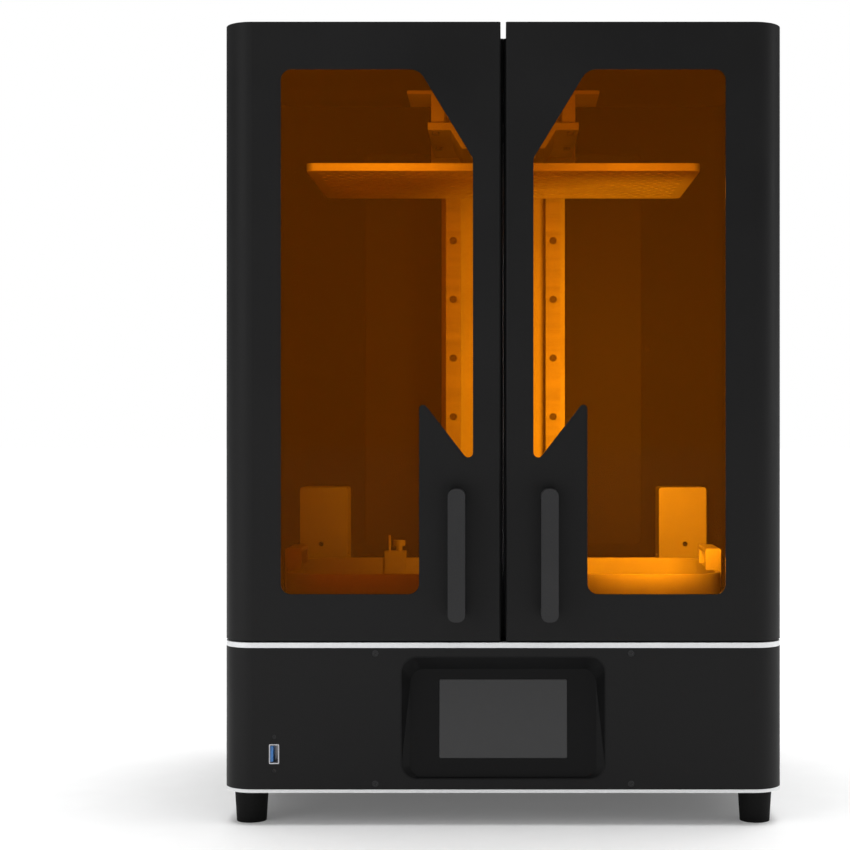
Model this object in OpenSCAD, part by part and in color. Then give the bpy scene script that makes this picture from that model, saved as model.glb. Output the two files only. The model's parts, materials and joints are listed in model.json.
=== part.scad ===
// Large-format resin printer: base with touchscreen, cabinet, two glazed doors, lifting plate and vat.
// Frame: origin on the ground under the middle of the outer box, +Z up, front towards -Y.

/* [Outer size] */
// Width of the body
body_w = 475; // [465:1:490]
// Depth of the body, from the door fronts to the rear wall
body_d = 376; // [372:1:384]
// Height from the ground to the top
total_h = 680; // [670:1:700]
// Radius of the upright corners
corner_r = 25; // [20:1:28]
// How far the rear covers stand out of the rear wall
rear_out = 2; // [1.5:0.5:2.5]

/* [Base] */
// Height of the rubber feet
foot_h = 28; // [24:1:34]
// Thickness of the lower trim band
lower_trim_h = 3; // [2:0.5:4]
// Height of the upper edge of the base housing
base_top = 150.5; // [148:0.5:153]
// Thickness of the upper trim band
upper_trim_h = 4.5; // [4:0.5:6]
// Thickness of the housing walls
wall = 3; // [2.5:0.5:3.5]

/* [Touchscreen] */
// Half width of the screen recess at the front
recess_x = 87; // [84:1:90]
// Depth of the recess at its lower edge
recess_low = 4; // [3:0.5:5]
// Depth of the recess at its upper edge
recess_high = 12; // [10:1:13]
// Width of the touch panel
touch_w = 108.4; // [100:0.2:112]
// Height of the touch panel
touch_h = 66; // [60:1:68]

/* [Doors] */
// Depth of a door, from its front to its rear rim
door_d = 62; // [58:1:64]
// Gap between the two doors
door_gap = 4.5; // [4:0.5:6]
// Thickness of the door walls
door_wall = 2.5; // [2:0.25:2.5]
// Distance of the hinge pins from the door's side and rear rim
hinge_in = 7; // [7:0.25:7.5]
// How far the handles stand out of the doors
handle_out = 22; // [18:1:26]
// Width of a handle
handle_w = 14.5; // [12:0.5:16]
// Length of a handle
handle_l = 111; // [100:1:120]

/* [Printing] */
// Width of the build plate
plate_w = 350; // [330:1:354]
// Depth of the build plate
plate_d = 186; // [180:1:188]
// Thickness of the build plate
plate_t = 7; // [6:0.5:8]
// Travel of the build plate
travel = 400; // [380:1:400]
// Width of the vat
vat_w = 390; // [386:1:392]
// Depth of the vat
vat_d = 204; // [202:1:206]
// Height of the upper edge of the vat
vat_top = 207.5; // [200:0.5:208]

/* [Hidden] */
$fn = 48;
eps = 0.5;

half_w = body_w / 2;
y_front = handle_out - (body_d + handle_out + rear_out) / 2;
y_back = y_front + body_d;
y_rear = y_back + rear_out;
base_bottom = foot_h + lower_trim_h;
deck_z = base_top + upper_trim_h;

// doors and hinges
door_z0 = deck_z + 1.5;
door_z1 = total_h;
door_back = y_front + door_d;
hinge_x = half_w - hinge_in;
hinge_y = door_back - hinge_in;
swing_r = hinge_in * sqrt(2);
cabinet_front = hinge_y + swing_r + 0.6;
hinge_levels = [door_z0 + 32, (door_z0 + door_z1) / 2, door_z1 - 32];
hinge_pin_r = 2;
hinge_pin_half = 6.4;
hinge_gap = 0.06;
leaf_t = 4;
leaf_reach = 17;
leaf_neck = 6.4;
eye_r = 4;
lug_gap = 2.4;
lug_half = 2;
handle_x = 39;
handle_z = 230;
handle_bar = 9;
handle_r = 6;
post_h = 14;
edge_cut = 1.8;
lip_w = 2;
lip_y = [-150, -140];
lip_end = 8;
magnet_x = [8, 34];
magnet_h = 14;
magnet_y = door_back + 0.6;
keeper_d = 5;

// window outline of the right door, clockwise from its upper outer corner: x, z and corner radius
win_x1 = half_w - 49.5;
win_x0 = 25.6;
win_step = 71.2;
win_slope_z = 363;
win_peak_z = 304;
win_z0 = 196;
win_z1 = total_h - 40.4;
window_corners = [
    [win_x1, win_z1, 8.5],
    [win_x1, win_z0, 8.5],
    [win_step, win_z0, 9],
    [win_step, win_slope_z, 3.5],
    [win_x0, win_peak_z, 4],
    [win_x0, win_z1 - 75, 6],
    [win_step, win_z1, 13]
];

// base
foot_side = 21.5;
foot_in = 25;
foot_r = [12.75, 14.5];
band_w = 8;
slot = [4, 22];
slot_pitch = [14, 30];
vent_z = [60, 124];
vent_w = 5;
vent_pitch = 12;

// touchscreen
recess_r = 14;
bezel_r = 11;
bezel_x = 79;
rim_w = 1.2;
recess_z0 = 39;
recess_z1 = 143.7;
bezel_z0 = 40.6;
bezel_z1 = 131.6;
bezel_d = 18;
tilt = atan((recess_high - recess_low) / (bezel_z1 - bezel_z0));
touch_z = 16;
touch_t = 3;

// sockets and screws
usb_x = half_w - 43.8;
usb_z = 60.8;
usb_half = [4.3, 8.35];
usb_wall = 0.9;
usb_d = 16;
screw_r = 2.5;
small_screw_r = 1.5;
screw_gap = 0.1;
front_screw_x = 108.2;
front_screw_z = [35.8, 145.9];
fan_x = 70;
fan_z = 92;
fan_size = 80;
fan_d = 25;
fan_bore_r = 37.5;
inlet_x = -170;
inlet_z = 92;
inlet_half = [14, 28];
inlet_d = 20;
socket_half_w = 12;
socket_z = [inlet_z - 20, inlet_z - 4];
socket_d = 15;
contact_z = [inlet_z - 15, inlet_z - 10];
contact_w = 2;
contact_pitch = 6;
rocker_z = inlet_z + 14;
rocker_y = y_back - 5;
rocker_tilt = 9;
rocker_half_w = 9.6;
rocker_well = [10, 10.8];
axle_r = 1.5;

// light engine and electronics
light_x = 171;
light_y = 97;
box_z = 75;
led_z = 66;
board_x = [-225, -175];
board_y = [-60, 100];
board_z = 44;
board_t = 2;
supply_x = [176, 226];
supply_y = [-90, 110];
supply_top = 130;

// cabinet
panel_x = 160;
panel_z0 = 200;
panel_z1 = 640;
panel_rim = 14;
panel_vents_x = [8, 58];
filter_x = [161, 210];
filter_y = [152, 193];
filter_top = 275.5;
filter_wall = 3;
filter_screw = [188, 217];

// printing parts
plate_y0 = -(plate_d + 24) / 2;
plate_cy = plate_y0 + plate_d / 2;
glass_top = 163.6;
film_z = glass_top + 0.4;
film_t = 0.2;
plate_z = film_z + film_t + 0.4 + travel;
vat_y0 = plate_cy + 1 - vat_d / 2;
vat_y1 = vat_y0 + vat_d;
vat_wall = 4;
vat_r = 30;
frame_top = film_z - 3.3;

// lifting column
column_w = 127;
column_y = 147;
column_d = 35;
column_top = 665;
rail_x = 51;
rail_w = 15;
rail_h = 15;
rail_z0 = 160;
rail_z1 = 655;
rail_y = column_y - rail_h;
rail_pitch = 60;
rail_first = 168.4;
screw_y = 130;
lead_r = 8;
neck_r = 5;
arm_z = 609;
arm_t = 7;
arm_front = -58;
trough_back = 62;
trough_z = 592;
trough_t = 5;
arm_holes_x = 62;
arm_holes_y = [arm_front + 10, 40];
carriage_y = 107;
carriage_t = 10;
carriage_x = 72.5;
carriage_top = 650;
block_z = [580, 618];
block_h = 30;
grip_y = [-66, -6];
grip_w = 11;
grip_t = 3;
grip_h = 19.5;
nozzle_x = [-118, -97];
knob_r = 18;
knob_top = 636;

module both() {
    children();
    mirror([1, 0, 0]) children();
}

// rectangle with round corners, from exact arcs
module rrect(x0, x1, y0, y1, r) {
    if (x1 - x0 > 2 * r) translate([x0 + r, y0]) square([x1 - x0 - 2 * r, y1 - y0]);
    if (y1 - y0 > 2 * r) translate([x0, y0 + r]) square([x1 - x0, y1 - y0 - 2 * r]);
    for (x = [x0 + r, x1 - r], y = [y0 + r, y1 - r]) translate([x, y]) circle(r);
}

// an outline of X and Y raised from z0 to z1
module up(z0, z1) translate([0, 0, z0]) linear_extrude(z1 - z0) children();

// an outline of X and Z carried from y0 to y1
module along_y(y0, y1) translate([0, y1, 0]) rotate([90, 0, 0]) linear_extrude(y1 - y0) children();

// an outline of Y and Z carried from x0 to x1
module along_x(x0, x1) translate([x0, 0, 0]) rotate([90, 0, 90]) linear_extrude(x1 - x0) children();

module block(x0, x1, y0, y1, z0, z1) translate([x0, y0, z0]) cube([x1 - x0, y1 - y0, z1 - z0]);

module rod_y(x, z, r, y0, y1) translate([x, y1, z]) rotate([90, 0, 0]) cylinder(h = y1 - y0, r = r);

module rod_z(x, y, r, z0, z1) translate([x, y, z0]) cylinder(h = z1 - z0, r = r);

module body_outline(inset) {
    rrect(-half_w + inset, half_w - inset, y_front + inset, y_back - inset, corner_r - inset);
}

// ---- base ----

module feet() color([0.05, 0.05, 0.05]) both() for (y = [y_front + foot_in, y_back - foot_in])
    translate([half_w - foot_side, y, 0]) cylinder(h = foot_h, r1 = foot_r[0], r2 = foot_r[1]);

module lower_trim() color([0.9, 0.9, 0.9]) up(foot_h, base_bottom) difference() {
    body_outline(0);
    body_outline(band_w);
}

module base_floor() color([0.3, 0.3, 0.32]) difference() {
    up(foot_h, base_bottom) body_outline(band_w);
    for (row = [-3 : 2], column = [2 : 9]) translate([-column * slot_pitch[0], row * slot_pitch[1], 0])
        up(foot_h - eps, base_bottom + eps) rrect(0, slot[0], 0, slot[1], slot[0] / 2);
}

module base_housing() color([0.12, 0.12, 0.12]) difference() {
    up(base_bottom, base_top) body_outline(0);
    up(base_bottom - eps, base_top + eps) body_outline(wall);
    along_y(y_front - eps, y_front + wall + eps) rrect(-recess_x, recess_x, recess_z0, recess_z1, recess_r);
    along_y(y_front - eps, y_front + wall + eps) usb_outline(0, 0.8);
    front_screw_places() rod_y(0, 0, screw_r + screw_gap, y_front - eps, y_front + wall + eps);
    usb_screw_places() rod_y(0, 0, small_screw_r + screw_gap, y_front - eps, y_front + wall + eps);
    for (x = [-fan_x, fan_x]) rod_y(x, fan_z, fan_bore_r, y_back - wall - eps, y_back + eps);
    along_y(y_back - wall - eps, y_back + eps) inlet_outline(screw_gap);
    for (i = [0 : 6]) translate([120 + i * vent_pitch, 0, 0])
        along_y(y_back - wall - eps, y_back + eps) rrect(0, vent_w, vent_z[0], vent_z[1], vent_w / 2);
}

module front_screw_places()
    for (x = [-front_screw_x, front_screw_x], z = front_screw_z) translate([x, 0, z]) children();

module usb_screw_places()
    for (z = [usb_z - 14.2, usb_z + 14.5]) translate([-usb_x, 0, z]) children();

module upper_trim() color([0.85, 0.86, 0.87]) up(base_top, deck_z) difference() {
    body_outline(0);
    body_outline(band_w);
}

module deck_plate() color([0.1, 0.1, 0.1]) difference() {
    up(base_top, deck_z) body_outline(band_w);
    light_block(1, 1, base_top - eps, deck_z + eps);
    rod_z(0, screw_y, 6, base_top - eps, deck_z + eps);
}

// ---- touchscreen and USB socket ----

module on_bezel() translate([0, y_front + recess_low, bezel_z0]) rotate([-tilt, 0, 0]) children();

module touch_outline(grow)
    rrect(-touch_w / 2 - grow, touch_w / 2 + grow, touch_z - grow, touch_z + touch_h + grow, 1 + grow);

module screen_bezel() color([0.07, 0.07, 0.07]) difference() {
    along_y(y_front, y_front + bezel_d) rrect(-recess_x, recess_x, recess_z0, recess_z1, recess_r);
    hull() {
        along_y(y_front - eps, y_front)
            rrect(rim_w - recess_x, recess_x - rim_w, recess_z0 + rim_w, recess_z1 - rim_w, recess_r - 1);
        on_bezel() along_y(-1, 0) rrect(-bezel_x, bezel_x, 0, bezel_z1 - bezel_z0, bezel_r);
    }
    on_bezel() along_y(-eps, touch_t) touch_outline(0.2);
}

module touch_panel() color([0.24, 0.24, 0.24]) on_bezel() along_y(0.2, touch_t) touch_outline(0);

module display_board() color([0.05, 0.3, 0.15]) translate([-60, y_front + bezel_d + 1, 50])
    cube([120, board_t, 78]);

// outline of the USB socket, made smaller by inset
module usb_outline(inset, r) translate([-usb_x, usb_z])
    rrect(inset - usb_half[0], usb_half[0] - inset, inset - usb_half[1], usb_half[1] - inset, r);

module usb_port() color([0.75, 0.75, 0.77]) difference() {
    along_y(y_front, y_front + usb_d) usb_outline(0, 0.8);
    along_y(y_front - eps, y_front + usb_d - 2) usb_outline(usb_wall, 0.4);
}

module usb_tongue() color([0.1, 0.35, 0.7])
    translate([usb_wall - usb_half[0] - usb_x, y_front + 0.8, usb_z - 6.6]) cube([2.5, usb_d - 2.8, 13.2]);

module case_screws() color([0.2, 0.2, 0.2]) {
    front_screw_places() socket_screw(y_front + 0.3, 1, screw_r, 8);
    usb_screw_places() socket_screw(y_front + 0.3, 1, small_screw_r, 8);
    both() rear_screw_places() socket_screw(y_rear, -1, screw_r, 4);
    both() translate([filter_screw[0], 0, filter_screw[1]]) socket_screw(filter_y[0] - 0.5, 1, screw_r, 3);
}

// screw along Y with its head at y, standing in the direction of side, with a six-sided socket
module socket_screw(y, side, r, length) translate([0, y, 0]) rotate([-90 * side, 0, 0]) difference() {
    cylinder(h = length, r = r);
    translate([0, 0, -eps]) cylinder(h = 1.2 + eps, r = r * 0.5, $fn = 6);
}

module rear_screw_places()
    for (z = [panel_z0 + 8, (panel_z0 + panel_z1) / 2, panel_z1 - 8])
        translate([panel_x - 8, 0, z]) children();

// ---- light engine and electronics ----

// block under the screen's outline, grown by gx and gy on each side
module light_block(gx, gy, z0, z1)
    block(-light_x - gx, light_x + gx, plate_cy - light_y - gy, plate_cy + light_y + gy, z0, z1);

module lcd_frame() color([0.16, 0.16, 0.17]) difference() {
    up(deck_z, frame_top) rrect(-194, 194, vat_y0 + 1, vat_y1, 12);
    light_block(0, 0, deck_z - eps, frame_top + eps);
}

module lcd_panel() color([0.02, 0.02, 0.05]) {
    light_block(-0.2, -0.2, frame_top - 3, frame_top);
    light_block(2, -2.5, frame_top, glass_top);
}

module light_box() color([0.8, 0.8, 0.8]) difference() {
    light_block(2, 2, box_z, base_top);
    light_block(0, 0, box_z - eps, base_top + eps);
}

module led_board() color([0.1, 0.4, 0.2]) light_block(0, 0, led_z, led_z + board_t);

module led_lenses() color([0.85, 0.85, 0.95]) for (i = [-3.5 : 3.5], j = [-1.5 : 1.5])
    rod_z(i * 42, plate_cy + j * 46, 14, led_z + board_t, led_z + board_t + 6);

module heat_sink() color([0.6, 0.6, 0.62]) {
    light_block(-6, -7, led_z - 6, led_z);
    for (i = [-16 : 16]) translate([i * 10, 0, 0])
        block(-1.25, 1.25, plate_cy - light_y + 7, plate_cy + light_y - 7, led_z - 26, led_z - 6);
}

// board on four standoffs, with a cooling block over its processor
module mainboard() color([0.05, 0.35, 0.2]) {
    block(board_x[0], board_x[1], board_y[0], board_y[1], board_z, board_z + board_t);
    for (x = [board_x[0] + 5, board_x[1] - 5], y = [board_y[0] + 5, board_y[1] - 5])
        rod_z(x, y, 2.5, base_bottom, board_z);
    translate([board_x[0] + 10, 0, board_z + board_t]) cube([25, 30, 6]);
}

module power_supply() color([0.7, 0.7, 0.7])
    block(supply_x[0], supply_x[1], supply_y[0], supply_y[1], base_bottom, supply_top);

// ---- mains inlet and fans ----

module inlet_outline(grow) translate([inlet_x, inlet_z])
    rrect(-inlet_half[0] - grow, inlet_half[0] + grow, -inlet_half[1] - grow, inlet_half[1] + grow, 2);

module power_inlet() color([0.06, 0.06, 0.06]) {
    difference() {
        union() {
            along_y(y_back, y_rear) inlet_outline(5);
            along_y(y_back - inlet_d, y_back) inlet_outline(0);
        }
        along_y(y_back - socket_d, y_rear + eps)
            rrect(inlet_x - socket_half_w, inlet_x + socket_half_w, socket_z[0], socket_z[1], 2);
        translate([inlet_x - rocker_well[0], y_back - socket_d - 1, rocker_z - rocker_well[1]])
            cube([2 * rocker_well[0], socket_d + 1 + rear_out + eps, 2 * rocker_well[1]]);
        translate([inlet_x, rocker_y, rocker_z]) rod_x(axle_r + 0.05, socket_half_w);
    }
    for (i = [-1 : 1]) translate([inlet_x + i * contact_pitch, 0, 0]) along_y(y_back - socket_d, y_back - 3)
        rrect(-contact_w / 2, contact_w / 2, contact_z[0], contact_z[1], 0.5);
}

module rod_x(r, half) translate([-half, 0, 0]) rotate([0, 90, 0]) cylinder(h = 2 * half, r = r);

module power_rocker() color([0.1, 0.1, 0.1])
    translate([inlet_x, rocker_y, rocker_z]) rotate([rocker_tilt, 0, 0]) {
        along_x(-rocker_half_w, rocker_half_w)
            polygon([[-3, -4], [-3, 4], [4.6, 9.2], [3.4, 0], [4.6, -9.2]]);
        rod_x(axle_r, socket_half_w - 0.2);
    }

module fan_frames() color([0.08, 0.08, 0.08]) for (x = [-fan_x, fan_x]) translate([x, y_back - wall, fan_z]) {
    difference() {
        along_y(-fan_d, 0) rrect(-fan_size / 2, fan_size / 2, -fan_size / 2, fan_size / 2, 4);
        rod_y(0, 0, fan_bore_r, -fan_d - eps, eps);
    }
    rod_y(0, 0, 13, -fan_d, -fan_d + 3);
    rod_y(0, 0, 2, -fan_d + 3, -6);
    for (a = [45, 135]) rotate([0, a, 0])
        block(-fan_bore_r - eps, fan_bore_r + eps, -fan_d, -fan_d + 2.5, -3, 3);
}

module fan_rotor(x) translate([x, y_back - wall, fan_z]) difference() {
    union() {
        rod_y(0, 0, 14, -fan_d + 4, -4);
        for (k = [0 : 6]) rotate([0, k * 360 / 7, 0]) translate([13, -fan_d / 2, 0]) rotate([38, 0, 0])
            translate([0, -0.9, -8]) cube([22.5, 1.8, 16]);
    }
    rod_y(0, 0, 2.06, -fan_d + 3, -5);
}

module left_fan_rotor() color([0.1, 0.1, 0.1]) fan_rotor(-fan_x);

module right_fan_rotor() color([0.1, 0.1, 0.1]) fan_rotor(fan_x);

module fan_guards() color([0.5, 0.5, 0.5]) for (x = [-fan_x, fan_x]) translate([x, 0, fan_z]) {
    for (r = [9, 18, 27, 36]) difference() {
        rod_y(0, 0, r + 1, y_back, y_rear);
        rod_y(0, 0, r - 1, y_back - eps, y_rear + eps);
    }
    for (a = [45, 135]) rotate([0, a, 0]) block(-44, 44, y_back, y_rear, -1.2, 1.2);
}

// ---- cabinet ----

module cabinet_shell() color([0.11, 0.11, 0.11]) difference() {
    up(deck_z, total_h) cabinet_outline(0, 0);
    up(deck_z - eps, total_h - wall) cabinet_outline(wall, eps);
    along_y(y_back - wall - eps, y_back + eps)
        rrect(panel_rim - panel_x, panel_x - panel_rim, panel_z0 + panel_rim, panel_z1 - panel_rim, 6);
    both() rear_screw_places() rod_y(0, 0, screw_r + screw_gap, y_back - wall - eps, y_back + eps);
}

module cabinet_outline(inset, ahead) intersection() {
    body_outline(inset);
    translate([-half_w, cabinet_front - ahead]) square([body_w, body_d]);
}

module rear_panel() color([0.16, 0.16, 0.17]) difference() {
    along_y(y_back, y_rear) rrect(-panel_x, panel_x, panel_z0, panel_z1, 8);
    both() for (row = [240, 540], i = [0 : 5]) translate([0, 0, row + i * vent_pitch])
        along_y(y_back - eps, y_rear + eps) rrect(panel_vents_x[0], panel_vents_x[1], 0, vent_w, vent_w / 2);
    both() rear_screw_places() rod_y(0, 0, screw_r + screw_gap, y_back - eps, y_rear + eps);
}

// hinge leaf: eye, neck and foot. The neck passes inside the path of the door's rear rim
module hinge_leaf() difference() {
    union() {
        circle(eye_r);
        translate([-leaf_reach, -eye_r]) square([leaf_reach, eye_r + 2]);
        translate([-leaf_reach, -eye_r]) square([leaf_neck, 46]);
        translate([-leaf_reach, cabinet_front - hinge_y + 3])
            square([leaf_reach + hinge_in - wall, 39 - cabinet_front + hinge_y]);
    }
    circle(hinge_pin_r + hinge_gap);
}

module hinge_leaves() color([0.45, 0.45, 0.47]) both() for (z = hinge_levels)
    translate([hinge_x, hinge_y, 0]) up(z - leaf_t / 2, z + leaf_t / 2) hinge_leaf();

// deep magnets under the roof, and thin ones on the deck ahead of the vat
module door_magnets() color([0.35, 0.35, 0.37]) both() {
    block(magnet_x[0], magnet_x[1], magnet_y, magnet_y + 8, total_h - wall - magnet_h, total_h - wall);
    block(magnet_x[0], magnet_x[1], magnet_y, vat_y0 - 0.5, deck_z, deck_z + magnet_h);
}

// hollow upright cases with intake slots on their inner sides
module air_filters() color([0.75, 0.75, 0.75]) both() difference() {
    along_y(filter_y[0], filter_y[1]) rrect(filter_x[0], filter_x[1], deck_z, filter_top, 3);
    translate([filter_x[0] + filter_wall, filter_y[0] + filter_wall, deck_z + filter_wall]) cube([
        filter_x[1] - filter_x[0] - 2 * filter_wall,
        filter_y[1] - filter_y[0] - 2 * filter_wall,
        filter_top - deck_z - 2 * filter_wall
    ]);
    for (i = [0 : 4]) translate([filter_x[0] - 1, filter_y[0] + 8, 175 + i * 7])
        cube([filter_wall + 1.5, 24, 3]);
    translate([filter_screw[0], 0, filter_screw[1]])
        rod_y(0, 0, screw_r + screw_gap, filter_y[0] - eps, filter_y[0] + filter_wall + eps);
}

// ---- lifting column ----

module z_column() color([0.55, 0.55, 0.56]) difference() {
    block(-column_w / 2, column_w / 2, column_y, column_y + column_d, deck_z, column_top);
    translate([10 - column_w / 2, column_y + 8, deck_z + 10])
        cube([column_w - 20, column_d - 8 + eps, column_top - deck_z - 20]);
    rail_hole_places() rod_y(0, 0, 2, column_y - eps, column_y + 8 + eps);
}

module rail_hole_places()
    for (x = [-rail_x, rail_x], z = [rail_first : rail_pitch : rail_z1]) translate([x, 0, z]) children();

module z_rails() color([0.7, 0.7, 0.7]) difference() {
    union() {
        both() rail_block(rail_w / 2, rail_y, rail_y + 5);
        both() rail_block(rail_w / 2 - 2, rail_y + 5, rail_y + 9);
        both() rail_block(rail_w / 2, rail_y + 9, column_y);
    }
    rail_hole_places() rod_y(0, 0, 2.3, rail_y - eps, column_y + eps);
    rail_hole_places() rod_y(0, 0, 3.8, rail_y - eps, rail_y + 5.3);
}

module rail_block(half, y0, y1) block(rail_x - half, rail_x + half, y0, y1, rail_z0, rail_z1);

module rail_screws() color([0.3, 0.3, 0.3]) rail_hole_places() {
    rod_y(0, 0, 3.6, rail_y + 1.5, rail_y + 5.3);
    rod_y(0, 0, 1.9, rail_y + 5.3, column_y + 8);
}

module z_motor() color([0.2, 0.2, 0.2]) difference() {
    union() {
        block(-28, 28, screw_y - 28, screw_y + 28, 80, 145);
        block(-36, 36, screw_y - 28, screw_y + 36, 145, base_top);
    }
    rod_z(0, screw_y, 4.06, 138, base_top + eps);
}

module screw_bearing() color([0.6, 0.6, 0.6]) difference() {
    block(-22, 22, screw_y - 14, column_y, 652, 664);
    rod_z(0, screw_y, neck_r + 0.06, 652 - eps, 664 + eps);
}

module z_screw() color([0.72, 0.72, 0.74]) {
    rod_z(0, screw_y, 4, 140, 186);
    rod_z(0, screw_y, lead_r, 186, 648);
    rod_z(0, screw_y, neck_r, 648, 663);
}

module screw_coupling() color([0.8, 0.8, 0.82]) difference() {
    union() {
        rod_z(0, screw_y, 12, 157, 169);
        rod_z(0, screw_y, 9, 169, 173.5);
        rod_z(0, screw_y, 12, 173.5, 185.5);
    }
    rod_z(0, screw_y, 4, 157 - eps, 185.5 + eps);
}

// ---- carriage ----

module carriage_plate() color([0.62, 0.62, 0.63]) difference() {
    along_y(carriage_y, carriage_y + carriage_t) rrect(-carriage_x, carriage_x, arm_z - 33, carriage_top, 4);
    for (x = [-rail_x, rail_x], side = [-11, 11], z = [block_z[0] + 8, block_z[1] + 22])
        rod_y(x + side, z, 2, carriage_y - eps, carriage_y + carriage_t + eps);
}

module rail_blocks() color([0.5, 0.5, 0.5]) both() for (z = block_z) difference() {
    block(rail_x - 17, rail_x + 17, carriage_y + carriage_t, column_y - 3, z, z + block_h);
    translate([rail_x - rail_w / 2 - 0.3, rail_y - 0.3, z - eps])
        cube([rail_w + 0.6, column_y - rail_y + 0.3, block_h + 2 * eps]);
}

module drive_nut() color([0.75, 0.65, 0.35]) difference() {
    union() {
        block(-20, 20, carriage_y + carriage_t, screw_y + 8, 612, 622);
        rod_z(0, screw_y, 12.5, 600, 636);
    }
    rod_z(0, screw_y, lead_r + 0.06, 600 - eps, 636 + eps);
}

// folded arm: flanges at arm_z, with a sloping trough that hangs between them ahead of the vat's rear wall
module lift_arm() color([0.66, 0.66, 0.67]) difference() {
    union() {
        block(-69, 69, arm_front, carriage_y, arm_z, arm_z + arm_t);
        along_y(arm_front, trough_back) trough_outline();
        both() translate([0, 0, arm_z + arm_t]) along_x(60, 66)
            polygon([[trough_back, 0], [carriage_y, 0], [carriage_y, carriage_top - arm_z - arm_t - 4]]);
    }
    rod_z(0, plate_cy, 4.06, trough_z - eps, arm_z + arm_t + eps);
    arm_screw_places() rod_z(0, 0, 2, arm_z - eps, arm_z + arm_t + eps);
}

module arm_screw_places()
    for (x = [-arm_holes_x, arm_holes_x], y = arm_holes_y) translate([x, y, 0]) children();

module trough_outline() difference() {
    polygon([[-49, arm_z + 1], [49, arm_z + 1], [38, trough_z], [-38, trough_z]]);
    polygon([[-43, arm_z], [43, arm_z], [35.5, trough_z + trough_t], [-35.5, trough_z + trough_t]]);
}

module carry_handle() color([0.6, 0.6, 0.6]) {
    along_y(arm_front, 7) rrect(-88, 88, 642, 645, 1);
    both() for (y = [arm_front + 4, -5]) block(54, 66, y, y + 8, arm_z + arm_t, 642);
}

module ball_mount() color([0.5, 0.5, 0.52]) {
    block(-68, 68, plate_cy - 45, plate_cy + 45, plate_z + plate_t, plate_z + plate_t + 5);
    rod_z(0, plate_cy, 24, plate_z + plate_t + 5, plate_z + plate_t + 10);
    rod_z(0, plate_cy, 15, plate_z + plate_t + 10, plate_z + plate_t + 14);
    block(-30, 30, plate_cy - 26, plate_cy + 26, plate_z + plate_t + 14, trough_z);
}

module plate_screw_places()
    for (x = [-59, 59], y = [plate_cy - 36, plate_cy + 36]) translate([x, y, 0]) children();

module build_plate() color([0.8, 0.8, 0.8]) difference() {
    up(plate_z, plate_z + plate_t) rrect(-plate_w / 2, plate_w / 2, plate_y0, plate_y0 + plate_d, 7);
    plate_screw_places() rod_z(0, 0, 2.5, plate_z - eps, plate_z + plate_t + eps);
}

module plate_screws() color([0.3, 0.3, 0.3]) {
    plate_screw_places() rod_z(0, 0, 2.4, plate_z + 0.4, plate_z + plate_t - 0.2);
    arm_screw_places() {
        rod_z(0, 0, 1.9, arm_z, arm_z + arm_t);
        rod_z(0, 0, 3.6, arm_z - 3, arm_z);
    }
}

module plate_knob() color([0.07, 0.07, 0.07]) {
    difference() {
        rod_z(0, plate_cy, knob_r, arm_z + arm_t + 0.4, knob_top);
        for (a = [0 : 45 : 315]) rotate_about(a)
            rod_z(knob_r + 1.5, plate_cy, 3, arm_z + arm_t, knob_top + eps);
    }
    rod_z(0, plate_cy, 4, trough_z + 1, arm_z + arm_t + 0.4);
}

module rotate_about(a) translate([0, plate_cy, 0]) rotate([0, 0, a]) translate([0, -plate_cy, 0]) children();

// ---- vat ----

module vat_outline(inset)
    rrect(inset - vat_w / 2, vat_w / 2 - inset, vat_y0 + inset, vat_y1 - inset, vat_r - inset);

module vat_frame() color([0.62, 0.62, 0.63]) difference() {
    up(film_z + film_t, vat_top) vat_outline(0);
    up(film_z, vat_top + eps) vat_outline(vat_wall);
}

module vat_film() color([0.9, 0.9, 0.85]) up(film_z, film_z + film_t) vat_outline(1);

module film_ring() color([0.4, 0.4, 0.42]) difference() {
    up(frame_top + 0.3, film_z) vat_outline(0);
    up(frame_top, film_z + eps) rrect(-181, 181, vat_y0 + 5, vat_y1 - 5, 12);
}

// upright grips on the sides, each with a slot for the fingers
module vat_grips() color([0.62, 0.62, 0.63]) both() difference() {
    union() {
        along_y(grip_y[0], grip_y[1])
            rrect(vat_w / 2 - grip_w, vat_w / 2 + grip_t, vat_top, vat_top + grip_h, 1.5);
        block(vat_w / 2, vat_w / 2 + grip_t, grip_y[0], grip_y[1], vat_top - 15.5, vat_top + 8);
    }
    block(
        vat_w / 2 - grip_w - eps, vat_w / 2 + grip_t + eps, grip_y[0] + 8, grip_y[1] - 8,
        vat_top + 3, vat_top + grip_h - 3.5);
}

module feed_nozzle() color([0.7, 0.7, 0.72]) {
    difference() {
        block(nozzle_x[0], nozzle_x[1], vat_y1 - 6.5, vat_y1 + 8, 192, 214);
        block(nozzle_x[0] - 1, nozzle_x[1] + 1, vat_y1 - vat_wall, vat_y1, 191, vat_top);
    }
    rod_z(nozzle_x[1] - 7, vat_y1 + 4, 3, 214, 219);
    rod_z(nozzle_x[1] - 7, vat_y1 + 4, 6, 219, 224.5);
    rod_z(nozzle_x[0] + 5, vat_y1 - vat_wall - 1.4, 1.1, 172, 230);
}

// ---- doors ----

// points of a corner at p between a and b, rounded with radius r
function unit(v) = v / norm(v);
function corner_points(a, p, b, r, steps = 6) =
    let (
        u = unit(a - p),
        v = unit(b - p),
        half = acos(u * v) / 2,
        centre = p + unit(u + v) * r / sin(half),
        from = p + u * r / tan(half) - centre,
        to = p + v * r / tan(half) - centre,
        turn = acos(min(1, max(-1, from * to / (r * r)))),
        side = from[0] * to[1] - from[1] * to[0] > 0 ? 1 : -1
    )
    [for (i = [0 : steps]) let (g = side * turn * i / steps)
        centre + [from[0] * cos(g) - from[1] * sin(g), from[0] * sin(g) + from[1] * cos(g)]];

function flat(p) = [p[0], p[1]];

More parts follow.
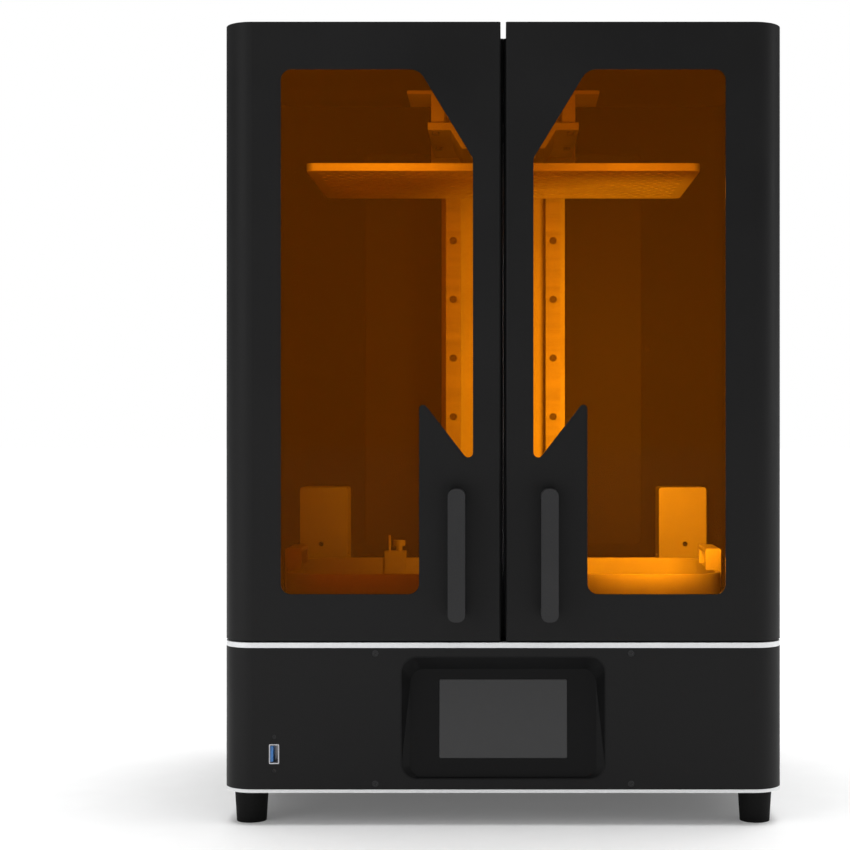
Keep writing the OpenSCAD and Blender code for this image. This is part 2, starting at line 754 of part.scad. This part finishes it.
module window_outline() {
    n = len(window_corners);
    polygon([for (i = [0 : n - 1]) each corner_points(
        flat(window_corners[(i + n - 1) % n]), flat(window_corners[i]),
        flat(window_corners[(i + 1) % n]), window_corners[i][2])]);
}

module door_outline(inset, behind) {
    x0 = door_gap / 2 + inset;
    y1 = door_back + behind;
    r = corner_r - inset;
    difference() {
        union() {
            translate([x0, y_front + inset]) square([half_w - corner_r - x0, y1 - y_front - inset]);
            translate([x0, y_front + corner_r]) square([half_w - inset - x0, y1 - y_front - corner_r]);
            translate([half_w - corner_r, y_front + corner_r]) circle(r);
        }
        if (inset == 0) translate([x0, y_front]) rotate(45) square(edge_cut, center = true);
    }
}

module door_shell() difference() {
    union() {
        difference() {
            up(door_z0, door_z1) door_outline(0, 0);
            up(door_z0 + door_wall, door_z1 - door_wall) door_outline(door_wall, eps);
            along_y(y_front - eps, y_front + door_wall + eps) window_outline();
        }
        for (z = hinge_levels, side = [-1, 1]) translate([0, 0, z + side * (leaf_t / 2 + lug_gap)])
            block(hinge_x - 6, half_w - door_wall, hinge_y - 6, hinge_y + 5, -lug_half, lug_half);
        block(door_gap / 2 - lip_w, door_gap / 2 + door_wall, lip_y[0], lip_y[1], door_z0, door_z1 - lip_end);
        for (z = [door_z0, door_z1 - magnet_h])
            block(magnet_x[0], magnet_x[1], door_back - keeper_d, door_back, z, z + magnet_h);
    }
    hinge_pins();
}

module window_pane() along_y(y_front, y_front + door_wall) window_outline();

module door_handle() {
    along_y(y_front - handle_out, y_front - handle_out + handle_bar) handle_outline(handle_z, handle_l);
    for (side = [-1, 1]) along_y(y_front - handle_out + handle_bar, y_front)
        handle_outline(handle_z + side * (handle_l - post_h) / 2, post_h);
}

module handle_outline(z, length)
    rrect(handle_x - handle_w / 2, handle_x + handle_w / 2, z - length / 2, z + length / 2, handle_r);

module hinge_pins() for (z = hinge_levels)
    rod_z(hinge_x, hinge_y, hinge_pin_r, z - hinge_pin_half, z + hinge_pin_half);

module right_door_shell() color([0.11, 0.11, 0.11]) door_shell();

module left_door_shell() color([0.13, 0.13, 0.13]) mirror([1, 0, 0]) door_shell();

module right_window() color([0.6, 0.28, 0.02, 0.6]) window_pane();

module left_window() color([0.6, 0.28, 0.02, 0.6]) mirror([1, 0, 0]) window_pane();

module right_handle() color([0.2, 0.2, 0.2]) door_handle();

module left_handle() color([0.2, 0.2, 0.2]) mirror([1, 0, 0]) door_handle();

module right_hinge_pins() color([0.6, 0.6, 0.62]) hinge_pins();

module left_hinge_pins() color([0.6, 0.6, 0.62]) mirror([1, 0, 0]) hinge_pins();

feet();
base_floor();
lower_trim();
base_housing();
upper_trim();
deck_plate();
screen_bezel();
touch_panel();
display_board();
usb_port();
usb_tongue();
case_screws();
lcd_frame();
lcd_panel();
light_box();
led_board();
led_lenses();
heat_sink();
mainboard();
power_supply();
power_inlet();
power_rocker();
fan_frames();
fan_guards();
left_fan_rotor();
right_fan_rotor();
cabinet_shell();
rear_panel();
hinge_leaves();
door_magnets();
air_filters();
z_column();
z_rails();
rail_screws();
z_motor();
screw_bearing();
z_screw();
screw_coupling();
carriage_plate();
rail_blocks();
drive_nut();
lift_arm();
carry_handle();
ball_mount();
build_plate();
plate_screws();
plate_knob();
vat_frame();
vat_film();
film_ring();
vat_grips();
feed_nozzle();
left_door_shell();
left_window();
left_handle();
left_hinge_pins();
right_door_shell();
right_window();
right_handle();
right_hinge_pins();
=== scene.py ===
"""Looks of the resin printer: materials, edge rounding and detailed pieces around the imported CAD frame."""

import json
import math

import bmesh
import bpy
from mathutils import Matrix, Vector


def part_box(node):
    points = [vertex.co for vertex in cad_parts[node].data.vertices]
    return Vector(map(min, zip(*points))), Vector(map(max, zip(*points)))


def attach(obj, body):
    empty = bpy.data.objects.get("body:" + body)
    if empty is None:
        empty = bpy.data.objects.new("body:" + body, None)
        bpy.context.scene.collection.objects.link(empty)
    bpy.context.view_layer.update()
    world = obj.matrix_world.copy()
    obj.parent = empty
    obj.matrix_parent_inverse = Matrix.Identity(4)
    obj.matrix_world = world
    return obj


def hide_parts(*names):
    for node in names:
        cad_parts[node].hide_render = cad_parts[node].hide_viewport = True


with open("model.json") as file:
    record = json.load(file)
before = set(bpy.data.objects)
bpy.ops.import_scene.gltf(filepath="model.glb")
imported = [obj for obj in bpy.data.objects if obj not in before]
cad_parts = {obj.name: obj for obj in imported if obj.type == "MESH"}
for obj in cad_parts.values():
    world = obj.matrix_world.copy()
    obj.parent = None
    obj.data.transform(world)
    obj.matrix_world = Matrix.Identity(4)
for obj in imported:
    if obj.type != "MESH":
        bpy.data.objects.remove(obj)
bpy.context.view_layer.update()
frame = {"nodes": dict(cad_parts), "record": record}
nodes = frame["nodes"]

MM = 0.001
WHITE = (1, 1, 1, 1)
SHARP_EDGE = math.radians(40)
DOOR_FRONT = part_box("right_door_shell")[0][1]


# ---- camera ----

CAMERA_DISTANCE = 1.48
CAMERA_HEIGHT = 0.3348
LENS = 74.16
SENSOR_WIDTH = 36
SHIFT = (-0.0920, 0.0059)
FAR_CLIP = 100


def make_camera():
    """A level camera in front of the doors."""
    data = bpy.data.cameras.new("camera")
    data.lens = LENS
    data.sensor_width = SENSOR_WIDTH
    data.shift_x, data.shift_y = SHIFT
    data.clip_end = FAR_CLIP
    camera = bpy.data.objects.new("camera", data)
    camera.location = (0, DOOR_FRONT - CAMERA_DISTANCE, CAMERA_HEIGHT)
    camera.rotation_euler = (math.pi / 2, 0, 0)
    bpy.context.scene.collection.objects.link(camera)
    bpy.context.scene.camera = camera


# ---- world, floor and lights ----

WORLD_ON_OBJECT = 0.17
WORLD_TO_CAMERA = 1.0

FLOOR_REACH = 30
FLOOR_GREY = (0.86, 0.86, 0.86)
FLOOR_GLOW = 0.12
FLOOR_SPECULAR = 0.2

SUN_POWER = 3.4
SUN_ANGLE = math.radians(50)
SUN_TILT = (math.radians(-6), math.radians(4), 0)

# Each soft light beside the object: name, place, size and power.
SOFT_LIGHTS = [
    ("soft_left", (-1.1, -1.0, 0.8), (0.8, 1.6), 5),
    ("soft_right", (2.6, -0.2, 0.8), (0.6, 2.0), 11),
]
SOFT_AIM = (0, 0, 0.35)

# Each light inside the chamber: name, x, z, size, power and spread in degrees. They stand PANE_TO_LIGHT
# behind the window panes and shine straight back.
CHAMBER_LIGHTS = [
    ("plate_left", -0.11, 0.565, (0.14, 0.05), 0.085, 150),
    ("plate_right", 0.11, 0.565, (0.14, 0.05), 0.06, 150),
    ("chamber_right", 0.13, 0.35, (0.09, 0.24), 1.75, 110),
]
PANE_TO_LIGHT = 10 * MM
BEHIND_OBJECT = 1


def make_world():
    """White to the camera, and a dimmer even light on the object."""
    world = bpy.data.worlds.new("studio")
    bpy.context.scene.world = world
    world.use_nodes = True
    tree = world.node_tree
    tree.nodes.clear()
    out = tree.nodes.new("ShaderNodeOutputWorld")
    mix = tree.nodes.new("ShaderNodeMixShader")
    path = tree.nodes.new("ShaderNodeLightPath")
    tree.links.new(path.outputs["Is Camera Ray"], mix.inputs["Fac"])
    for socket, strength in ((1, WORLD_ON_OBJECT), (2, WORLD_TO_CAMERA)):
        background = tree.nodes.new("ShaderNodeBackground")
        background.inputs["Color"].default_value = WHITE
        background.inputs["Strength"].default_value = strength
        tree.links.new(background.outputs[0], mix.inputs[socket])
    tree.links.new(mix.outputs[0], out.inputs["Surface"])


def make_floor():
    """A plain pale floor that glows a little, so that it stays white away from the object."""
    mesh = bpy.data.meshes.new("floor")
    reach = FLOOR_REACH
    corners = [(-reach, -reach, 0), (reach, -reach, 0), (reach, reach, 0), (-reach, reach, 0)]
    mesh.from_pydata(corners, [], [(0, 1, 2, 3)])
    floor = bpy.data.objects.new("floor", mesh)
    bpy.context.scene.collection.objects.link(floor)
    material = surface("floor_white", FLOOR_GREY, 0.6, grain=3, spread=0.02, bump=0)
    shader = material.node_tree.nodes["Principled BSDF"]
    shader.inputs["Emission Color"].default_value = WHITE
    shader.inputs["Emission Strength"].default_value = FLOOR_GLOW
    shader.inputs["Specular IOR Level"].default_value = FLOOR_SPECULAR
    mesh.materials.append(material)


def area_light(name, place, aim, size, power, seen=True):
    """A rectangular light, itself out of sight; seen says whether it shows in reflections."""
    data = bpy.data.lights.new(name, "AREA")
    data.shape = "RECTANGLE"
    data.size, data.size_y = size
    data.energy = power
    light = bpy.data.objects.new(name, data)
    light.location = place
    light.rotation_euler = (Vector(aim) - Vector(place)).to_track_quat("-Z", "Y").to_euler()
    light.visible_camera = False
    light.visible_glossy = seen
    light.visible_transmission = False
    bpy.context.scene.collection.objects.link(light)
    return light


def make_lights():
    sun = bpy.data.objects.new("overhead", bpy.data.lights.new("overhead", "SUN"))
    sun.data.energy = SUN_POWER
    sun.data.angle = SUN_ANGLE
    sun.rotation_euler = SUN_TILT
    bpy.context.scene.collection.objects.link(sun)
    for name, place, size, power in SOFT_LIGHTS:
        area_light(name, place, SOFT_AIM, size, power)
    behind_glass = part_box("right_window")[1][1] + PANE_TO_LIGHT
    for name, x, z, size, power, spread in CHAMBER_LIGHTS:
        light = area_light(name, (x, behind_glass, z), (x, BEHIND_OBJECT, z), size, power, seen=False)
        light.data.spread = math.radians(spread)


# ---- materials ----

# Noise cells per metre, for a grain of 1, and the depth of detail of each noise.
BROAD_SCALE = 0.12
BROAD_DETAIL = 3
FINE_SCALE = 10
FINE_DETAIL = 4
RAMP_ENDS = (0.3, 0.7)
BUMP_HEIGHT = 0.0002
SMOOTHEST = 0.02

BRUSHED = (1, 1, 40)

OPAQUE = {
    "black_shell": dict(colour=(0.0068, 0.0068, 0.0070), roughness=0.52, grain=90, bump=0.35, specular=0.20),
    "black_plastic": dict(colour=(0.0040, 0.0040, 0.0042), roughness=0.45, grain=80, bump=0.2, specular=0.16),
    "handle_grey": dict(colour=(0.024, 0.024, 0.025), roughness=0.48, grain=90, bump=0.25, specular=0.28),
    "black_metal": dict(colour=(0.012, 0.012, 0.013), roughness=0.42, grain=70, bump=0.4, specular=0.4),
    "trim_silver": dict(colour=(0.86, 0.87, 0.88), roughness=0.42, metallic=0.15, spread=0.05, bump=0.1),
    "rubber_feet": dict(colour=(0.005, 0.005, 0.005), roughness=0.75, grain=70, bump=0.5, specular=0.15),
    "floor_steel": dict(colour=(0.03, 0.03, 0.032), roughness=0.5, grain=70, bump=0.4),
    "screen_glass": dict(colour=(0.036, 0.036, 0.037), roughness=0.30, grain=12, spread=0.06, bump=0),
    "panel_glass": dict(colour=(0.004, 0.004, 0.009), roughness=0.12, grain=12, bump=0, coat=1.0),
    "circuit_board": dict(colour=(0.01, 0.07, 0.025), roughness=0.35, grain=120, bump=0.4),
    "bright_steel": dict(colour=(0.50, 0.50, 0.52), roughness=0.40, metallic=0.6, grain=30, bump=0.1,
                         stretch=BRUSHED),
    "dark_steel": dict(colour=(0.22, 0.22, 0.22), roughness=0.40, metallic=0.8, bump=0.2),
    "blue_plastic": dict(colour=(0.05, 0.20, 0.52), roughness=0.4, bump=0.2),
    "reflector": dict(colour=(0.8, 0.8, 0.8), roughness=0.2, metallic=1.0, grain=30, bump=0.1),
    "raw_aluminium": dict(colour=(0.46, 0.46, 0.47), roughness=0.50, metallic=0.4, grain=110, bump=0.2),
    "plate_aluminium": dict(colour=(0.55, 0.55, 0.56), roughness=0.50, metallic=0.35, grain=150, bump=0.06),
    "filter_case": dict(colour=(0.25, 0.25, 0.25), roughness=0.5, grain=90, bump=0.3),
    "motor_black": dict(colour=(0.02, 0.02, 0.02), roughness=0.4, bump=0.2),
    "nut_brass": dict(colour=(0.68, 0.48, 0.18), roughness=0.3, metallic=1.0, grain=40, bump=0.1),
}

CLEAR = {
    "amber_window": dict(colour=(1.0, 0.29, 0.003), roughness=0.04, transmission=0.95, ior=1.08),
    "clear_lens": dict(colour=(0.92, 0.92, 0.95), roughness=0.05, transmission=0.9),
    "clear_film": dict(colour=(0.95, 0.95, 0.92), roughness=0.1, transmission=0.9),
}


def noise(tree, mapping, scale, detail):
    made = tree.nodes.new("ShaderNodeTexNoise")
    made.inputs["Scale"].default_value = scale
    made.inputs["Detail"].default_value = detail
    tree.links.new(mapping.outputs["Vector"], made.inputs["Vector"])
    return made


def average(tree, first, second):
    """A Math node that gives half of each of two noises."""
    half = tree.nodes.new("ShaderNodeMath")
    half.operation = "MULTIPLY"
    half.inputs[1].default_value = 0.5
    both = tree.nodes.new("ShaderNodeMath")
    both.operation = "MULTIPLY_ADD"
    both.inputs[1].default_value = 0.5
    tree.links.new(second.outputs["Fac"], half.inputs[0])
    tree.links.new(first.outputs["Fac"], both.inputs[0])
    tree.links.new(half.outputs[0], both.inputs[2])
    return both


def surface(name, colour, roughness, metallic=0.0, grain=60, spread=0.25, bump=0.15, stretch=(1, 1, 1),
            coat=0.0, specular=0.5, rough_spread=0.12):
    """A procedural finish whose colour, roughness and bump vary with a broad noise and a fine one."""
    material = bpy.data.materials.new(name)
    material.use_nodes = True
    tree = material.node_tree
    shader = tree.nodes["Principled BSDF"]
    shader.inputs["Metallic"].default_value = metallic
    shader.inputs["Specular IOR Level"].default_value = specular
    shader.inputs["Coat Weight"].default_value = coat
    place = tree.nodes.new("ShaderNodeTexCoord")
    mapping = tree.nodes.new("ShaderNodeMapping")
    mapping.inputs["Scale"].default_value = stretch
    tree.links.new(place.outputs["Object"], mapping.inputs["Vector"])
    broad = noise(tree, mapping, grain * BROAD_SCALE, BROAD_DETAIL)
    fine = noise(tree, mapping, grain * FINE_SCALE, FINE_DETAIL)

    ramp = tree.nodes.new("ShaderNodeValToRGB")
    dark = [c * (1 - spread) for c in colour]
    light = [min(1, c * (1 + spread)) for c in colour]
    for element, position, shade in zip(ramp.color_ramp.elements, RAMP_ENDS, (dark, light)):
        element.position = position
        element.color = (*shade, 1)
    tree.links.new(average(tree, fine, broad).outputs[0], ramp.inputs["Fac"])
    tree.links.new(ramp.outputs["Color"], shader.inputs["Base Color"])

    rough = tree.nodes.new("ShaderNodeMapRange")
    rough.inputs["To Min"].default_value = max(SMOOTHEST, roughness - rough_spread)
    rough.inputs["To Max"].default_value = min(1.0, roughness + rough_spread)
    tree.links.new(broad.outputs["Fac"], rough.inputs["Value"])
    tree.links.new(rough.outputs["Result"], shader.inputs["Roughness"])

    if bump:
        height = tree.nodes.new("ShaderNodeBump")
        height.inputs["Strength"].default_value = bump
        height.inputs["Distance"].default_value = BUMP_HEIGHT
        tree.links.new(fine.outputs["Fac"], height.inputs["Height"])
        tree.links.new(height.outputs["Normal"], shader.inputs["Normal"])
    return material


def glass(name, colour, roughness, transmission, ior=1.45):
    material = surface(name, colour, roughness, grain=20, spread=0.05, bump=0, rough_spread=0.01)
    shader = material.node_tree.nodes["Principled BSDF"]
    shader.inputs["Transmission Weight"].default_value = transmission
    shader.inputs["IOR"].default_value = ior
    return material


def finishes():
    """One material for each of the record's slots."""
    opaque = {name: surface(name, **values) for name, values in OPAQUE.items()}
    clear = {name: glass(name, **values) for name, values in CLEAR.items()}
    return {**opaque, **clear}


def paint_nodes(materials):
    slots = {row["node"]: row["material_slot"] for row in frame["record"]["subparts"]}
    for name, piece in nodes.items():
        piece.data.materials.clear()
        piece.data.materials.append(materials[slots[name]])


# ---- edges of the CAD nodes ----

# The width of each node's rounded edges, in mm.
ROUNDED = {
    "left_door_shell": 0.9, "right_door_shell": 0.9, "left_handle": 1.6, "right_handle": 1.6,
    "cabinet_shell": 0.8, "upper_trim": 0.4, "lower_trim": 0.4, "feet": 0.8,
    "screen_bezel": 0.5, "touch_panel": 0.3, "usb_port": 0.3, "usb_tongue": 0.2, "power_inlet": 0.5,
    "power_rocker": 0.4, "rear_panel": 0.3, "air_filters": 1.0, "lift_arm": 0.5, "carry_handle": 0.4,
    "ball_mount": 0.5, "carriage_plate": 0.6, "rail_blocks": 0.5, "z_column": 0.8, "vat_frame": 0.5,
    "vat_grips": 0.7, "feed_nozzle": 0.4, "plate_knob": 0.8, "hinge_leaves": 0.3, "door_magnets": 0.5,
    "deck_plate": 0.3, "lcd_frame": 0.4, "screw_coupling": 0.4, "case_screws": 0.2,
}
NODE_BEVEL_SEGMENTS = 3
WELD_DISTANCE = 0.00001


def add_bevel(piece, width, segments):
    bevel = piece.modifiers.new("bevel", "BEVEL")
    bevel.width = width
    bevel.segments = segments
    bevel.limit_method = "ANGLE"
    bevel.angle_limit = SHARP_EDGE
    return bevel


def round_edges():
    for name, width in ROUNDED.items():
        piece = nodes[name]
        weld = piece.modifiers.new("weld", "WELD")
        weld.merge_threshold = WELD_DISTANCE
        bevel = add_bevel(piece, width * MM, NODE_BEVEL_SEGMENTS)
        bevel.use_clamp_overlap = True
        bevel.harden_normals = True
        normals = piece.modifiers.new("normals", "WEIGHTED_NORMAL")
        normals.keep_sharp = True


# ---- pieces ----

def piece_from(name, mesh, body, stands_for, material):
    piece = bpy.data.objects.new(name, mesh)
    bpy.context.scene.collection.objects.link(piece)
    mesh.materials.append(material)
    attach(piece, body)
    if stands_for:
        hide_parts(*stands_for)
    return piece


def lofted(name, rings):
    """A closed mesh through rings of points, smooth along its sides and flat at its two ends."""
    sides = len(rings[0])
    verts = [point for ring in rings for point in ring]
    last_ring = len(verts) - sides
    faces = []
    for start in range(0, last_ring, sides):
        for i in range(sides):
            k = (i + 1) % sides
            faces.append((start + i, start + k, start + sides + k, start + sides + i))
    faces.append(tuple(reversed(range(sides))))
    faces.append(tuple(range(last_ring, len(verts))))
    mesh = bpy.data.meshes.new(name)
    mesh.from_pydata(verts, [], faces)
    for face in mesh.polygons:
        face.use_smooth = len(face.vertices) == 4
    return mesh


# ---- build plate ----

PLATE_RIM = 7 * MM
PLATE_CORNER_R = 7 * MM
PLATE_BEVEL = 0.4 * MM
PLATE_BEVEL_SEGMENTS = 2
CORNER_STEPS = 8
HOLE_PITCH = 10.8 * MM
HOLE_R = 3.1 * MM
HOLE_DEPTH = 4.0 * MM


def round_rectangle(x0, x1, y0, y1, r):
    """The outline of a rectangle with round corners, as the same number of points for each corner."""
    points = []
    corners = [(x1 - r, y1 - r, 0), (x0 + r, y1 - r, 90), (x0 + r, y0 + r, 180), (x1 - r, y0 + r, 270)]
    for cx, cy, start in corners:
        for i in range(CORNER_STEPS + 1):
            a = math.radians(start + 90 * i / CORNER_STEPS)
            points.append((cx + r * math.cos(a), cy + r * math.sin(a)))
    return points


def holed_cell(bm, cx, cy, z):
    """A square of the plate's underside with a blind hole in its middle."""
    p = HOLE_PITCH / 2
    square = [(p, 0), (p, p), (0, p), (-p, p), (-p, 0), (-p, -p), (0, -p), (p, -p)]
    sides = len(square)
    edge = [bm.verts.new((cx + x, cy + y, z)) for x, y in square]
    turn = [math.radians(360 * i / sides) for i in range(sides)]
    mouth = [bm.verts.new((cx + HOLE_R * math.cos(a), cy + HOLE_R * math.sin(a), z)) for a in turn]
    end = [bm.verts.new((v.co.x, v.co.y, z + HOLE_DEPTH)) for v in mouth]
    for i in range(sides):
        k = (i + 1) % sides
        bm.faces.new([edge[k], edge[i], mouth[i], mouth[k]])
        bm.faces.new([mouth[k], mouth[i], end[i], end[k]])
    bm.faces.new(end[::-1])


def holed_plate(materials):
    """The build plate with the staggered grid of small blind holes on its underside."""
    (x0, y0, z0), (x1, y1, z1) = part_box("build_plate")
    columns = int((x1 - x0 - 2 * PLATE_RIM) / HOLE_PITCH)
    rows = int((y1 - y0 - 2 * PLATE_RIM) / HOLE_PITCH)
    gx0, gy0 = -columns * HOLE_PITCH / 2, (y0 + y1) / 2 - rows * HOLE_PITCH / 2
    gx1, gy1 = -gx0, gy0 + rows * HOLE_PITCH

    bm = bmesh.new()
    outline = round_rectangle(x0, x1, y0, y1, PLATE_CORNER_R)
    foot = [bm.verts.new((x, y, z0)) for x, y in outline]
    head = [bm.verts.new((x, y, z1)) for x, y in outline]
    bm.faces.new(head)
    for i in range(len(outline)):
        k = (i + 1) % len(outline)
        bm.faces.new([foot[i], foot[k], head[k], head[i]])

    grid = [bm.verts.new(p) for p in ((gx1, gy1, z0), (gx0, gy1, z0), (gx0, gy0, z0), (gx1, gy0, z0))]
    steps = len(outline) // 4
    for c in range(4):
        arc = foot[c * steps:(c + 1) * steps]
        for a, b in zip(arc, arc[1:]):
            bm.faces.new([grid[c], b, a])
        bm.faces.new([grid[c], grid[(c + 1) % 4], foot[((c + 1) * steps) % len(foot)], arc[-1]])

    half = HOLE_PITCH / 2
    for row in range(rows):
        cy = gy0 + (row + 0.5) * HOLE_PITCH
        shifted = row % 2
        for column in range(columns - shifted):
            holed_cell(bm, gx0 + (column + 0.5 + 0.5 * shifted) * HOLE_PITCH, cy, z0)
        if shifted:
            for ex in (gx0, gx1 - half):
                corners = [(ex, cy - half), (ex, cy + half), (ex + half, cy + half), (ex + half, cy - half)]
                bm.faces.new([bm.verts.new((x, y, z0)) for x, y in corners])
    bmesh.ops.recalc_face_normals(bm, faces=bm.faces)
    mesh = bpy.data.meshes.new("build_plate_detail")
    bm.to_mesh(mesh)
    bm.free()
    piece = piece_from("build_plate_detail", mesh, "carriage", ["build_plate"], materials["plate_aluminium"])
    add_bevel(piece, PLATE_BEVEL, PLATE_BEVEL_SEGMENTS)


# ---- lead screw ----

SCREW_LEAD = 10 * MM
SCREW_SIDES = 24
RINGS_PER_TURN = 8
GROOVE_DEPTH = 1.1 * MM
PLAIN_FOOT = 46 * MM
PLAIN_FOOT_R = 4 * MM
PLAIN_HEAD = 15 * MM
PLAIN_HEAD_R = 5 * MM


def threaded_screw(materials):
    """The lead screw with its helical groove and plain ends."""
    (x0, y0, z0), (x1, y1, z1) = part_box("z_screw")
    cx, cy, r = (x0 + x1) / 2, (y0 + y1) / 2, (x1 - x0) / 2
    bottom, top = z0 + PLAIN_FOOT, z1 - PLAIN_HEAD
    rows = int((top - bottom) / SCREW_LEAD * RINGS_PER_TURN)
    angles = [2 * math.pi * i / SCREW_SIDES for i in range(SCREW_SIDES)]

    def ring(z, radii):
        return [(cx + rr * math.cos(a), cy + rr * math.sin(a), z) for a, rr in zip(angles, radii)]

    def plain_ring(z, radius):
        return ring(z, [radius] * SCREW_SIDES)

    rings = [plain_ring(z0, PLAIN_FOOT_R), plain_ring(bottom, PLAIN_FOOT_R)]
    for row in range(rows + 1):
        z = bottom + (top - bottom) * row / rows
        phase = (z - bottom) / SCREW_LEAD * 2 * math.pi
        rings.append(ring(z, [r - GROOVE_DEPTH * (0.5 + 0.5 * math.cos(a - phase)) ** 2 for a in angles]))
    rings += [plain_ring(top, PLAIN_HEAD_R), plain_ring(z1, PLAIN_HEAD_R)]
    mesh = lofted("lead_screw_detail", rings)
    piece_from("lead_screw_detail", mesh, "lead_screw", ["z_screw"], materials["bright_steel"])


# ---- door seal ----

SEAL_BEHIND_FRONT = 33 * MM
SEAL_HALF_DEPTH = 3 * MM
SEAL_CLEARANCE = 0.02 * MM
SEAL_ABOVE_FOOT = 1 * MM
SEAL_BELOW_TOP = 8 * MM
SEAL_SIDES = 16
SEAL_ROWS = 24


def door_seal(materials):
    """A rounded rubber strip on the right door's inner edge, which closes the gap to the left door."""
    (x0, y0, z0), (_, _, z1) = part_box("right_door_shell")
    centre_y = y0 + SEAL_BEHIND_FRONT
    half_width = x0 - SEAL_CLEARANCE
    bottom, top = z0 + SEAL_ABOVE_FOOT, z1 - SEAL_BELOW_TOP
    angles = [2 * math.pi * i / SEAL_SIDES for i in range(SEAL_SIDES)]
    rings = []
    for row in range(SEAL_ROWS + 1):
        z = bottom + (top - bottom) * row / SEAL_ROWS
        rings.append([(half_width * math.cos(a), centre_y + SEAL_HALF_DEPTH * math.sin(a), z) for a in angles])
    mesh = lofted("door_seal", rings)
    piece_from("door_seal", mesh, "right_door", [], materials["rubber_feet"])


make_camera()
make_world()
materials = finishes()
make_floor()
make_lights()
paint_nodes(materials)
round_edges()
holed_plate(materials)
threaded_screw(materials)
door_seal(materials)
bpy.context.scene.view_settings.view_transform = "Standard"
